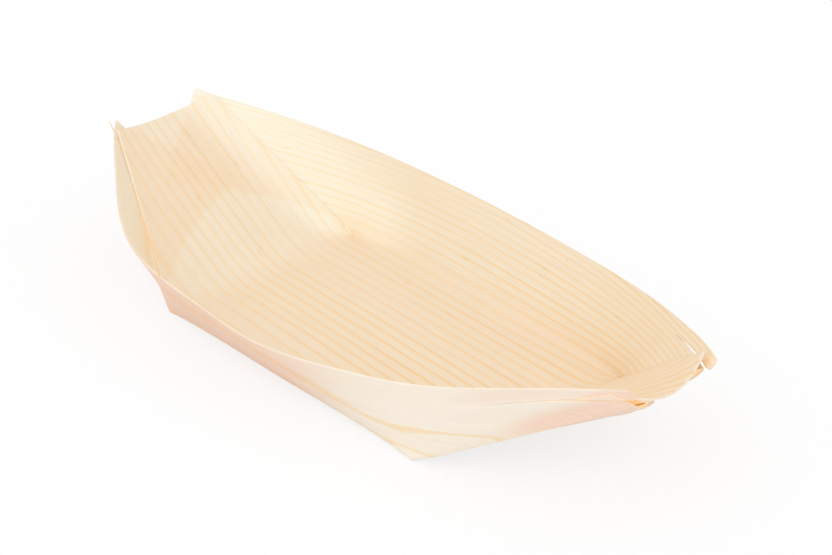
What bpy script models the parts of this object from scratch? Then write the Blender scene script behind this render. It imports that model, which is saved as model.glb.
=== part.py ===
"""Wooden snack boat: a disposable serving boat bent from one sheet of pine veneer.

The sheet is slit along the grain at both ends. Its middle stays flat as the floor, its long
sides bend up as walls, and its ends bend up as tapering panels. At each corner the end of the
wall turns round a sharp crease and lies behind the end panel as a flap. The two flaps of an
end overlap, and hot-melt glue holds them to the panel and to each other.

Frame: +X towards the right end, +Y towards the far wall, +Z up. The origin is the middle of
the floor's underside. Every surface is drawn as the inner face of the sheet.
"""
import math
from collections import namedtuple

import bmesh
import bpy
import numpy as np
from mathutils import Vector

# Sheet, glue and the clearances between layers, in metres
VENEER = 0.0005
GLUE_FILM = 0.00025
GLUE_SEAT = 0.00015
FOLD_GAP = 0.0003
LAYER_PITCH = VENEER + GLUE_FILM + 2 * GLUE_SEAT

# Floor and the soft bends round it
FLOOR_LENGTH = 0.0904
WALL_BEND = 0.0035
END_BEND = 0.0055
CORNER_BEND = 0.00025

NEAR, FAR = -1, 1
SIDE_NAMES = {NEAR: "near", FAR: "far"}

# One end: fold_skew and top_skew are how much further out the far corner is than the near one,
# and ear is how far the wall's rim strip runs straight on past the corner
End = namedtuple(
    "End",
    "name sign floor_width fold_skew reach height top_width top_skew top_sag ear",
)
LEFT = End(
    name="left",
    sign=-1,
    floor_width=0.0576,
    fold_skew=0.0056,
    reach=0.0373,
    height=0.0271,
    top_width=0.0296,
    top_skew=0.0028,
    top_sag=0.0026,
    ear=0.0,
)
RIGHT = End(
    name="right",
    sign=1,
    floor_width=0.0603,
    fold_skew=0.0022,
    reach=0.0423,
    height=0.0303,
    top_width=0.0243,
    top_skew=0.0010,
    top_sag=0.0056,
    ear=0.0022,
)
ENDS = (LEFT, RIGHT)

# Rim of both walls over the left fold, the middle and the right fold
RIM_HALF_WIDTHS = (0.0374, 0.0425, 0.0348)
RIM_HEIGHTS = (0.0189, 0.0169, 0.0210)
RIM_STRIP = 0.0030

# Corner flaps: the angle from the crease to the flap's grain, the slit's length, the start of
# the slit up the crease, how far the flap's rim corner stands past the crease, and the side
# whose flap lies over the other one
FLAP_TURN = math.radians(41)
FLAP_LENGTH = 0.046
FLAP_START = 0.005
FLAP_EAR = 0.0030
OUTER_SIDE = NEAR

# End panel's clearance to the walls beside it
EDGE_INSET = 0.0006

# Share of the flaps' overlap that the glue spreads over
GLUE_SHARE = 0.6

# Grid counts
WALL_COLUMNS = 24
END_COLUMNS = 16
ARC_ROWS = 4
RISE_ROWS = 4
FLAP_GRID = 8
GLUE_GRID = 6

# Share of a run over which a direction is taken
PROBE = 0.01


def floor_corner(end, side):
    """Corner of the floor, where the end fold meets the wall fold and the crease starts."""
    out = FLOOR_LENGTH / 2 + side * end.fold_skew / 2
    return Vector((end.sign * out, side * end.floor_width / 2, VENEER))


def top_corner(end, side):
    """Top of the crease, where the end panel's top edge meets the rim."""
    out = FLOOR_LENGTH / 2 + end.reach + side * end.top_skew / 2
    return Vector((end.sign * out, side * end.top_width / 2, end.height))


def rim_point(side, t):
    """Point of a wall's rim, from the left crease at t = 0 to the right crease at t = 1."""
    left, right = top_corner(LEFT, side), top_corner(RIGHT, side)
    half = FLOOR_LENGTH / 2
    stations = (left.x, -half, 0.0, half, right.x)
    widths = (abs(left.y), *RIM_HALF_WIDTHS, abs(right.y))
    heights = (left.z, *RIM_HEIGHTS, right.z)
    degree = len(stations) - 1
    x = left.x + t * (right.x - left.x)
    y = np.polyval(np.polyfit(stations, widths, degree), x)
    z = np.polyval(np.polyfit(stations, heights, degree), x)
    return Vector((x, side * y, z))


def wall_fold(side, t):
    """Line where the floor would meet the wall if the bend were sharp."""
    return floor_corner(LEFT, side).lerp(floor_corner(RIGHT, side), t)


def end_fold(end, t):
    """Line where the floor would meet the end panel if the bend were sharp, near to far."""
    return floor_corner(end, NEAR).lerp(floor_corner(end, FAR), t)


def bend_reach(full, t):
    """Length of a bend on either side of its fold: full at mid-fold, almost none at a corner."""
    return CORNER_BEND + (full - CORNER_BEND) * math.sqrt(max(0.0, 4 * t * (1 - t)))


def edge_way(index, last):
    """Way in from an edge of a grid: 1 at its first line, -1 at its last, 0 between."""
    return (index == 0) - (index == last)


def bent_section(fold, inward, top, reach, strip):
    """Points up one section: round the bend, straight up to the rim strip, then to the edge."""
    upward = (top - fold).normalized()
    start = fold + inward * reach
    finish = fold + upward * reach
    strip_line = top - upward * strip
    points = []
    for row in range(ARC_ROWS):
        s = row / ARC_ROWS
        points.append(start.lerp(fold, s).lerp(fold.lerp(finish, s), s))
    for row in range(RISE_ROWS + 1):
        points.append(finish.lerp(strip_line, row / RISE_ROWS))
    return points + [top]


def panel_point(end, t, s, depth):
    """Point of an end panel's straight part, t from near to far and s up, depth behind its inner face."""
    def face(across, up):
        top = top_corner(end, NEAR).lerp(top_corner(end, FAR), across)
        fold = end_fold(end, across)
        slope = top - fold
        outward = Vector((slope.z * end.sign, 0.0, -slope.x * end.sign)).normalized()
        top += outward * end.top_sag * 4 * across * (1 - across)
        return fold.lerp(top, up)

    along = face(t + PROBE, s) - face(t - PROBE, s)
    upward = face(t, s + PROBE) - face(t, s - PROBE)
    behind = along.cross(upward).normalized() * end.sign
    return face(t, s) + behind * depth


class Crease:
    """Corner line from the floor up to the rim, with the wall on one side and the end panel on the other."""

    def __init__(self, end, side):
        self.end = end
        self.side = side
        self.foot = floor_corner(end, side)
        self.head = top_corner(end, side)
        self.length = (self.head - self.foot).length
        self.along = (self.head - self.foot).normalized()
        layer = 2 if side == OUTER_SIDE else 1
        self.depth = layer * LAYER_PITCH

    def into_wall(self, a):
        """Unit vector from the crease into the wall, square to the crease."""
        t_crease = 0.0 if self.end.sign < 0 else 1.0
        t_beside = t_crease - self.end.sign * PROBE
        fold_run = wall_fold(self.side, t_beside) - wall_fold(self.side, t_crease)
        rim_run = rim_point(self.side, t_beside) - rim_point(self.side, t_crease)
        run = fold_run.lerp(rim_run, a)
        return (run - self.along * run.dot(self.along)).normalized()

    def into_panel(self, a):
        """Unit vector from the crease into the end panel, square to the crease."""
        t_crease = 0.0 if self.side == NEAR else 1.0
        run = panel_point(self.end, t_crease - self.side * PROBE, a, 0.0) - self.point(a)
        return (run - self.along * run.dot(self.along)).normalized()

    def point(self, a):
        return self.foot.lerp(self.head, a)

    def set_out(self, a):
        """How far outside the crease the wall meets its flap, where they fold back sharply."""
        turn = min(self.into_wall(a).angle(self.into_panel(a)), math.pi / 2)
        return self.depth / math.tan(turn)

    def wall_end(self, a):
        """Point where the wall ends, level with its flap but level with the crease at the floor."""
        t_crease = 0.0 if self.side == NEAR else 1.0
        behind = panel_point(self.end, t_crease, a, self.depth) - self.point(a)
        share = min(1.0, a * self.length / FLAP_START)
        return self.point(a) + (behind - self.into_panel(a) * self.set_out(a)) * share


def flap_outline(crease):
    """Flap in the flat plane of the end panel, as (p, q) from its own floor corner.

    p runs along the end fold towards the other corner and q square to it, up the panel.
    """
    other = floor_corner(crease.end, -crease.side)
    base = (other - crease.foot).normalized()
    rise = crease.along.dot(base)
    lean = math.acos(rise)
    crease_way = np.array((math.cos(lean), math.sin(lean)))
    grain_way = np.array((math.cos(lean - FLAP_TURN), math.sin(lean - FLAP_TURN)))
    ear_strip = RIM_STRIP + FOLD_GAP if crease.end.ear else 0.0
    head = crease.length - ear_strip
    slit_end = grain_way * FLAP_LENGTH
    ear_tip = crease_way * head + grain_way * FLAP_EAR
    return crease_way, head, slit_end, ear_tip


def panel_place(crease, spot, depth):
    """Point behind an end panel at the flat place spot = (p, q)."""
    end = crease.end
    other = Crease(end, -crease.side)
    base = other.foot - crease.foot
    width = base.length
    base.normalize()
    height = crease.length * math.sin(crease.along.angle(base))
    s = spot[1] / height
    own_edge = s * (crease.head - crease.foot).dot(base)
    other_edge = width + s * (other.head - other.foot).dot(base)
    share = (spot[0] - own_edge) / (other_edge - own_edge)
    t = share if crease.side == NEAR else 1 - share
    return panel_point(end, t, s, depth)


def wall_columns(side):
    """Columns of points of a side wall, left to right, with the right ear as the last column."""
    inward = Vector((0.0, -side, 0.0))
    columns = []
    for column in range(WALL_COLUMNS + 1):
        t = column / WALL_COLUMNS
        fold = wall_fold(side, t)
        columns.append(bent_section(fold, inward, rim_point(side, t), bend_reach(WALL_BEND, t), RIM_STRIP))
    for end, index in ((LEFT, 0), (RIGHT, -1)):
        crease = Crease(end, side)
        for row in range(ARC_ROWS, len(columns[index])):
            a = (columns[index][row] - crease.foot).length / crease.length
            columns[index][row] = crease.wall_end(a)
    last, before = columns[-1], columns[-2]
    ear = [tip + (tip - back).normalized() * RIGHT.ear for tip, back in zip(last, before)]
    return columns + [ear]


def end_columns(end):
    """Columns of points of an end panel, near to far."""
    foot_near, foot_far = floor_corner(end, NEAR), floor_corner(end, FAR)
    across = (foot_far - foot_near).normalized()
    inward = Vector((-end.sign, 0.0, 0.0))
    columns = []
    for column in range(END_COLUMNS + 1):
        t = column / END_COLUMNS
        stand_back = across * EDGE_INSET * edge_way(column, END_COLUMNS)
        fold = end_fold(end, t) + stand_back
        top = panel_point(end, t, 1.0, 0.0) + stand_back
        columns.append(bent_section(fold, inward, top, bend_reach(END_BEND, t), RIM_STRIP))
    return columns


def floor_columns():
    """Columns of points of the floor, which stops short of the four bends."""
    corner_inset = CORNER_BEND + FOLD_GAP
    columns = []
    for column in range(WALL_COLUMNS + 1):
        t = column / WALL_COLUMNS
        wall_inset = bend_reach(WALL_BEND, t) - CORNER_BEND
        points = []
        for row in range(END_COLUMNS + 1):
            s = row / END_COLUMNS
            end_inset = bend_reach(END_BEND, s) - CORNER_BEND
            point = wall_fold(NEAR, t).lerp(wall_fold(FAR, t), s)
            point.x += end_inset * (1 - 2 * t) + corner_inset * edge_way(column, WALL_COLUMNS)
            point.y += wall_inset * (1 - 2 * s) + corner_inset * edge_way(row, END_COLUMNS)
            points.append(point)
        columns.append(points)
    return columns


def flap_columns(crease):
    """Columns of points of a corner flap, from the crease to its cut end."""
    crease_way, head, slit_end, ear_tip = flap_outline(crease)
    off_crease = np.array((crease_way[1], -crease_way[0]))
    columns = []
    for column in range(FLAP_GRID + 1):
        b = column / FLAP_GRID
        points = []
        for row in range(FLAP_GRID + 1):
            a = row / FLAP_GRID
            up = FLAP_START + a * (head - FLAP_START)
            start = crease_way * up + off_crease * (FOLD_GAP - crease.set_out(up / crease.length))
            finish = slit_end + (ear_tip - slit_end) * a
            points.append(panel_place(crease, start + (finish - start) * b, crease.depth))
        columns.append(points)
    return columns


def glue_columns(end, layer):
    """Columns of points of a round glue spot in the middle of the flaps' overlap, ahead of a layer."""
    crease = Crease(end, NEAR)
    width = (floor_corner(end, FAR) - crease.foot).length
    slit_end = flap_outline(crease)[2]
    half_length = GLUE_SHARE * (slit_end[0] - width / 2)
    crossing = slit_end[1] * (width / 2) / slit_end[0]
    half_height = GLUE_SHARE * (slit_end[1] - crossing)
    depth = layer * LAYER_PITCH - GLUE_SEAT - GLUE_FILM
    columns = []
    for column in range(GLUE_GRID + 1):
        u = 2 * column / GLUE_GRID - 1
        points = []
        for row in range(GLUE_GRID + 1):
            v = 2 * row / GLUE_GRID - 1
            p = width / 2 + half_length * u * math.sqrt(1 - v * v / 2)
            q = slit_end[1] + half_height * v * math.sqrt(1 - u * u / 2)
            points.append(panel_place(crease, (p, q), depth))
        columns.append(points)
    return columns


def make_material(name, colour, roughness):
    material = bpy.data.materials.new(name)
    material.use_nodes = True
    shader = material.node_tree.nodes["Principled BSDF"]
    shader.inputs["Base Color"].default_value = (*colour, 1.0)
    shader.inputs["Roughness"].default_value = roughness
    shader.inputs["Metallic"].default_value = 0.0
    return material


def make_sheet(name, columns, thickness, material, ear_rows=None, flat=False):
    """Grid laid over columns of points on the inner face, thickened away from the food side.

    With ear_rows the last column of faces is kept only from that row up. A flat sheet needs no
    lines inside its outline.
    """
    column_count, row_count = len(columns) - 1, len(columns[0]) - 1
    grid = bmesh.new()
    bmesh.ops.create_grid(grid, x_segments=column_count, y_segments=row_count, size=1.0)
    for vertex in grid.verts:
        column = round((vertex.co.x + 1) / 2 * column_count)
        row = round((vertex.co.y + 1) / 2 * row_count)
        vertex.co = Vector((column, row, 0.0))
    if ear_rows is not None:
        spare = [
            face for face in grid.faces
            if face.calc_center_median().x > column_count - 1 and face.calc_center_median().y < ear_rows
        ]
        bmesh.ops.delete(grid, geom=spare, context="FACES")
    for vertex in grid.verts:
        vertex.co = columns[round(vertex.co.x)][round(vertex.co.y)]
    if flat:
        bmesh.ops.dissolve_faces(grid, faces=grid.faces)
    grid.normal_update()
    food_side = Vector((0.0, 0.0, 2 * LEFT.height))
    facing = sum(
        face.normal.dot(food_side - face.calc_center_median()) * face.calc_area() for face in grid.faces
    )
    if facing < 0:
        bmesh.ops.reverse_faces(grid, faces=grid.faces)

    mesh = bpy.data.meshes.new(name)
    grid.to_mesh(mesh)
    grid.free()
    mesh.shade_smooth()
    mesh.materials.append(material)
    sheet = bpy.data.objects.new(name, mesh)
    sheet.parent = frame
    shell = sheet.modifiers.new("thickness", "SOLIDIFY")
    shell.thickness = thickness
    shell.offset = -1.0
    boat.objects.link(sheet)


for old in list(bpy.data.objects):
    bpy.data.objects.remove(old, do_unlink=True)

boat = bpy.data.collections.new("wooden_snack_boat")
bpy.context.scene.collection.children.link(boat)
frame = bpy.data.objects.new("boat_frame", None)
boat.objects.link(frame)

pine = make_material("pine_veneer", (0.90, 0.76, 0.56), 0.6)
glue = make_material("hot_melt_glue", (0.86, 0.78, 0.58), 0.35)

make_sheet("floor_panel", floor_columns(), VENEER, pine, flat=True)
for side in (NEAR, FAR):
    wall_name = f"{SIDE_NAMES[side]}_side_wall"
    make_sheet(wall_name, wall_columns(side), VENEER, pine, ear_rows=ARC_ROWS + RISE_ROWS)
for end in ENDS:
    make_sheet(f"{end.name}_end_panel", end_columns(end), VENEER, pine)
    for side in (NEAR, FAR):
        flap_name = f"{SIDE_NAMES[side]}_{end.name}_flap"
        make_sheet(flap_name, flap_columns(Crease(end, side)), VENEER, pine)
    make_sheet(f"{end.name}_panel_glue", glue_columns(end, 1), GLUE_FILM, glue)
    make_sheet(f"{end.name}_flap_glue", glue_columns(end, 2), GLUE_FILM, glue)
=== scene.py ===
"""Wooden snack boat: a disposable serving boat bent from one sheet of pine veneer.

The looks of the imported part, in its own frame: metres, +X towards the right end, +Y towards the far
wall, +Z up, with the origin in the middle of the floor's underside.
"""
import math
from collections import namedtuple

import bmesh
import bpy
import numpy as np
from mathutils import Matrix, Vector


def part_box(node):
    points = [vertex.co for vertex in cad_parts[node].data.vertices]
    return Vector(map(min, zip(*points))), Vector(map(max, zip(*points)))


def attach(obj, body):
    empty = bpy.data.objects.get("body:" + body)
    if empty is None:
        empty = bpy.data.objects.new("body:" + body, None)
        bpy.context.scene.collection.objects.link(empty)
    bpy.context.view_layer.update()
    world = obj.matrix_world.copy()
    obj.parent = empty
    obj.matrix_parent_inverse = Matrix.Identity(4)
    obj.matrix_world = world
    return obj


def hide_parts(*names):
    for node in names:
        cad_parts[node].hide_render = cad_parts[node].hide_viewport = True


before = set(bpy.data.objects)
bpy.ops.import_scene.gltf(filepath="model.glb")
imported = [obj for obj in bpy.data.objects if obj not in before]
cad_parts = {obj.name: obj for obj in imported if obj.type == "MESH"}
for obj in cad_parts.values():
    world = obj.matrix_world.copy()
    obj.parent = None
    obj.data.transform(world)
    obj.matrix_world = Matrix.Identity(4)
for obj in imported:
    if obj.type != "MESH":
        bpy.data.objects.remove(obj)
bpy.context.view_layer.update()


# The blank: one rotary-cut sheet of pine, half a millimetre thick, with the grain along the boat. It is
# slit along the grain at both ends, bent up round the floor and folded at the corners. Each part of it is
# drawn below as a grid of spots on its inner face.
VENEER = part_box("floor_panel")[1].z
LEFT, RIGHT = -1, 1
NEAR, FAR = -1, 1

# Growth rings: their pitch on the floor; past the far bend, where they are closer, and how much more they
# close up in a metre; where they start to widen towards the near rim, and over what length
RING_PITCH = 0.0028
FIRST_RING = 0.36
FAR_RING_PITCH = 0.0021
RINGS_NARROW = 0.033
RINGS_CLOSE_UP = 12.0
RINGS_WIDEN = -0.008
RINGS_WIDEN_OVER = 0.0195

# On the near wall the rings swing in towards the right, and then a little back
NEAR_WALL_RINGS = (-0.021, -0.030)
RING_SWING = 0.0100
RING_SWING_SPAN = (0.0, 0.032)
RING_SWING_BACK = 0.0020
RING_SWING_BACK_SPAN = (0.035, 0.060)

# Share of a ring's width at which its latewood starts: most of the sheet, and the near wall's right half
LATEWOOD_START = (0.50, 0.86)
LATEWOOD_NARROWS = (0.018, 0.034)

# place: in the frame; along, across: on the flat blank, where the rings run on through the bends;
# layers: what lies behind it and keeps light out, painted as shade on the inner face; glow: light from
# outside that shines through; fold_light: the gold of light inside a narrow fold;
# blush: shade that turns the outer face pink
Spot = namedtuple("Spot", "place along across layers glow fold_light blush")

blank = bmesh.new()
MARKS = ("along_grain", "across_grain", "painted_shade_of_layers_behind", "glow", "fold_light", "blush", "growth_ring",
         "latewood_start")
marks = [blank.verts.layers.float.new(name) for name in MARKS]


def ramp(start, finish, value):
    """Smooth step from 0 at start to 1 at finish."""
    share = min(1.0, max(0.0, (value - start) / (finish - start)))
    return share * share * (3 - 2 * share)


def ring_count(along, across):
    """Number of growth rings up to a place of the blank."""
    swing = RING_SWING * ramp(*RING_SWING_SPAN, along)
    swing -= RING_SWING_BACK * ramp(*RING_SWING_BACK_SPAN, along)
    across -= swing * ramp(*NEAR_WALL_RINGS, across)
    past = min(0.0, across - RINGS_WIDEN)
    beyond = max(0.0, across - RINGS_NARROW)
    widened = across - past - beyond - RINGS_WIDEN_OVER * (1 - math.exp(past / RINGS_WIDEN_OVER))
    far_rings = beyond * (1 + RINGS_CLOSE_UP * beyond) / FAR_RING_PITCH
    return FIRST_RING + widened / RING_PITCH + far_rings


def mark_values(spot):
    """Values of all marks at a spot: its own, its ring, and where that ring starts to darken."""
    narrow = ramp(*LATEWOOD_NARROWS, spot.along) * ramp(*NEAR_WALL_RINGS, spot.across)
    latewood_start = LATEWOOD_START[0] + (LATEWOOD_START[1] - LATEWOOD_START[0]) * narrow
    return (*spot[1:], ring_count(spot.along, spot.across), latewood_start)


def lay_patch(columns):
    """Lay a grid of faces over columns of spots."""
    grid = []
    for column in columns:
        grid.append([])
        for spot in column:
            vertex = blank.verts.new(spot.place)
            for mark, value in zip(marks, mark_values(spot)):
                vertex[mark] = value
            grid[-1].append(vertex)
    for left, right in zip(grid, grid[1:]):
        for row in range(len(left) - 1):
            blank.faces.new((left[row], right[row], right[row + 1], left[row + 1]))


# Floor: the flat middle of the sheet, which stands on the table. It stops where the sheet starts to
# bend, so its outline swings in from the four corners along the soft bends.
FLOOR_CORNERS = {
    (LEFT, NEAR): (-0.0424, -0.0288),
    (LEFT, FAR): (-0.0480, 0.0288),
    (RIGHT, NEAR): (0.0441, -0.03015),
    (RIGHT, FAR): (0.0434, 0.0304),
}
WALL_BEND = 0.0035
END_BEND = 0.0070
BEND_RUN_OUT = 4
WALL_COLUMNS = 150
WALL_CROWDING = 0.5
END_COLUMNS = 64

# The walls fan out of the corners: a rim far from the corner still rises from close to it
CORNER_FAN = 0.93

# The grain leans across the boat, most at the near side
GRAIN_START = -0.045
GRAIN_LEAN = 0.0425
GRAIN_FAN = 1.25


def floor_corner(end, side):
    """Corner of the floor's inner face, where the end fold meets the wall fold and the crease starts."""
    return Vector((*FLOOR_CORNERS[end, side], VENEER))


def fold_share(t):
    """Share along the wall fold from which the wall rises to the share t along its rim."""
    return t - CORNER_FAN * math.sin(2 * math.pi * t) / (2 * math.pi)


def wall_fold(side, t):
    """Line where the floor would meet the wall if the bend were sharp, left to right."""
    return floor_corner(LEFT, side).lerp(floor_corner(RIGHT, side), fold_share(t))


def end_fold(end, t):
    """Line where the floor would meet the end panel if the bend were sharp, near to far."""
    return floor_corner(end, NEAR).lerp(floor_corner(end, FAR), t)


def bend_reach(full, share):
    """Length of a bend on either side of its fold: full at mid-fold, none at a corner."""
    return full * (1 - (2 * share - 1) ** BEND_RUN_OUT)


def wall_shares():
    """Shares along the rim, closer together towards the corners."""
    even = [column / WALL_COLUMNS for column in range(WALL_COLUMNS + 1)]
    return [share - WALL_CROWDING * math.sin(2 * math.pi * share) / (2 * math.pi) for share in even]


def end_shares():
    """Shares across an end, closer together towards the corners, where the bend runs out."""
    even = [column / END_COLUMNS for column in range(END_COLUMNS + 1)]
    return [(share + (1 - math.cos(math.pi * share)) / 2) / 2 for share in even]


def grain_across(x, y):
    """Place across the grain of a point of the flat sheet."""
    return y + (GRAIN_LEAN - GRAIN_FAN * y) * (x - GRAIN_START)


floor_columns = []
for t in wall_shares():
    along_share = fold_share(t)
    column = []
    for s in end_shares():
        place = wall_fold(NEAR, t).lerp(wall_fold(FAR, t), s)
        place.x += bend_reach(END_BEND, s) * (1 - 2 * along_share)
        place.y += bend_reach(WALL_BEND, along_share) * (1 - 2 * s)
        across = grain_across(place.x, place.y)
        column.append(Spot(place, place.x, across, layers=1.0, glow=0.0, fold_light=0.0, blush=0.0))
    floor_columns.append(column)
lay_patch(floor_columns)


# End panels: the tapering ends of the sheet, bent up softly and leaning outwards. Their top edges bow
# outwards, and their side edges are free and lie inside the corner folds.
TOP_CORNERS = {
    (LEFT, NEAR): (-0.0811, -0.0148, 0.0271),
    (LEFT, FAR): (-0.0839, 0.0148, 0.0271),
    (RIGHT, NEAR): (0.0881, -0.01006, 0.0299),
    (RIGHT, FAR): (0.0867, 0.01355, 0.0305),
}
PANEL_TOPS = {**TOP_CORNERS, (RIGHT, NEAR): (0.0892, -0.0086, 0.0278)}
TOP_BOW = {LEFT: 0.0026, RIGHT: 0.0039}
PANEL_GRAIN_LEAN = {LEFT: 0.06, RIGHT: -0.12}
ARC_ROWS = 8
RISE_ROWS = 20
PROBE = 0.01

# A slit parts panel and wall from here up. The panel's edges are sunk into the folds a little, and the far
# right one bulges towards its loose fold, most above the middle
SLIT_START = 0.0040
EDGE_SINK = 0.00015
FAR_EDGE_BULGE = {LEFT: 0.0, RIGHT: 0.0011}
BULGE_RISE = 1.3

# Painted shade on the inner face where light is kept out from behind: by the table, which falls away up
# the bends, and by all that is at the right
TABLE_REACH = 0.012
PANEL_SHADE = {LEFT: 0.0, RIGHT: 1.0}

# Light shines through beside the far left crease. The near left one is a pale line at the top and a golden
# one low down
GLOW_ON_PANEL = 0.015
CREASE_LINE = 0.0007
CREASE_LIGHT_SPAN = (0.35, 0.65)
PANEL_CREASE_LIGHT = 0.25
PANEL_BLUSH = 0.5


def top_corner(end, side):
    """Top of the crease, where the end panel's top edge meets the rim."""
    return Vector(TOP_CORNERS[end, side])


def panel_point(end, t, s, depth):
    """Point of an end panel's straight part, t from near to far and s up, depth behind its inner face."""
    def face(across, up):
        top = Vector(PANEL_TOPS[end, NEAR]).lerp(Vector(PANEL_TOPS[end, FAR]), across)
        fold = end_fold(end, across)
        slope = top - fold
        outward = Vector((slope.z * end, 0.0, -slope.x * end)).normalized()
        return fold.lerp(top + outward * TOP_BOW[end] * 4 * across * (1 - across), up)

    along = face(t + PROBE, s) - face(t - PROBE, s)
    upward = face(t, s + PROBE) - face(t, s - PROBE)
    behind = along.cross(upward).normalized() * end
    return face(t, s) + behind * depth


def bent_section(fold, inward, top, reach):
    """Points up one section of the inner face: round the bend, then straight up."""
    start = fold + inward * reach
    finish = fold + (top - fold).normalized() * reach
    points = []
    for row in range(ARC_ROWS):
        s = row / ARC_ROWS
        points.append(start.lerp(fold, s).lerp(fold.lerp(finish, s), s))
    for row in range(RISE_ROWS + 1):
        points.append(finish.lerp(top, row / RISE_ROWS))
    return points


def runs(points):
    """Length from the first point to each point."""
    steps = [0.0] + [(b - a).length for a, b in zip(points, points[1:])]
    return np.cumsum(steps)


def glow_at(place, reach):
    """Light that shines through beside the far left crease."""
    return ramp(reach, 0.0, Crease(LEFT, FAR).distance(place))


def panel_patch(end):
    """Columns of spots of an end panel, near to far."""
    creases = [Crease(end, side) for side in (NEAR, FAR)]
    across_way = (creases[1].foot - creases[0].foot).normalized()
    inward = Vector((-end, 0.0, 0.0))
    columns = []
    for t in end_shares():
        top = panel_point(end, t, 1.0, 0.0)
        points = bent_section(end_fold(end, t), inward, top, bend_reach(END_BEND, t))
        edge = (t == 1.0) - (t == 0.0)
        spots = []
        for row, (place, run) in enumerate(zip(points, runs(points))):
            rise = max(0, row - ARC_ROWS) / RISE_ROWS
            layers = PANEL_SHADE[end] + sum(crease.covers(t, rise) for crease in creases)
            glow = glow_at(place, GLOW_ON_PANEL) * min(1.0, row / ARC_ROWS)
            beside = ramp(CREASE_LINE, 0.0, creases[0].distance(place)) if end == LEFT else 0.0
            high_up = ramp(*CREASE_LIGHT_SPAN, creases[0].share_up(place))
            sink = EDGE_SINK * edge * min(1.0, run / SLIT_START)
            if t == 1.0:
                sink += FAR_EDGE_BULGE[end] * math.sin(math.pi * rise ** BULGE_RISE)
            spots.append(Spot(
                place + across_way * sink,
                along=points[0].x + end * run,
                across=grain_across(points[0].x, place.y) + PANEL_GRAIN_LEAN[end] * run,
                layers=max(layers, ramp(TABLE_REACH, 0.0, run)),
                glow=max(glow, beside * high_up),
                fold_light=PANEL_CREASE_LIGHT * beside * (1 - high_up),
                blush=PANEL_BLUSH,
            ))
        columns.append(spots)
    return columns


# Corner creases: sharp folds from the floor's corners up to the rim. The end of each side wall turns
# round its crease and lies behind the end panel as a flap, the near flap over the far one. At the right
# the folds are loose: the walls run on past the panel's edges before they turn.
SNUG = 0.00005
GLUE_FILM = 0.0002
FLAP_TURN = math.radians(41)
FLAP_LENGTH = 0.046
FLAP_LAYERS = {FAR: 1, NEAR: 2}
FLAP_COLUMNS = 36

# Where each flap's rim corner stands past the crease: towards the other crease, and up
FLAP_EARS = {
    (LEFT, NEAR): (0.0026, 0.0026),
    (LEFT, FAR): (0.0023, 0.0031),
    (RIGHT, NEAR): (0.0100, 0.0025),
    (RIGHT, FAR): (0.0110, 0.0035),
}

# How far each wall's end runs on past the crease at its top, and how far it curls out behind the panel
STAND_OFF = {(LEFT, NEAR): 0.0, (LEFT, FAR): 0.0, (RIGHT, NEAR): 0.0070, (RIGHT, FAR): 0.0085}
CURL = {(LEFT, NEAR): 0.0, (LEFT, FAR): 0.0, (RIGHT, NEAR): -0.0001, (RIGHT, FAR): 0.0}
CURL_TIGHTNESS = 24

# Share of a flap's length over which it settles against the panel, low down and at the top, and over which
# it gets to its own layer's depth; from TOP_HUG up it stays close to the panel
LAY_DOWN = 0.12
TOP_LAY_DOWN = 0.75
LAY_DOWN_RISE = 3
FLAP_TUCK = {NEAR: 1.0, FAR: 0.9}
FULL_DEPTH = 0.45
TOP_HUG = 0.85

# Softness of the flaps' shadows through the panel, and light on the flaps in the folds
SOFT_EDGE = 0.0006
FLAP_GLOW = {(LEFT, NEAR): 0.0, (LEFT, FAR): 0.8, (RIGHT, NEAR): 0.0, (RIGHT, FAR): 1.0}
FLAP_LIGHT = {(LEFT, NEAR): 0.0, (LEFT, FAR): 0.0, (RIGHT, NEAR): 1.0, (RIGHT, FAR): 0.65}
FLAP_LIGHT_SPAN = (0.25, 0.60)
FLAP_LIGHT_FADE = (1.0, 0.8)
FLAP_BLUSH = 1.0


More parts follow.
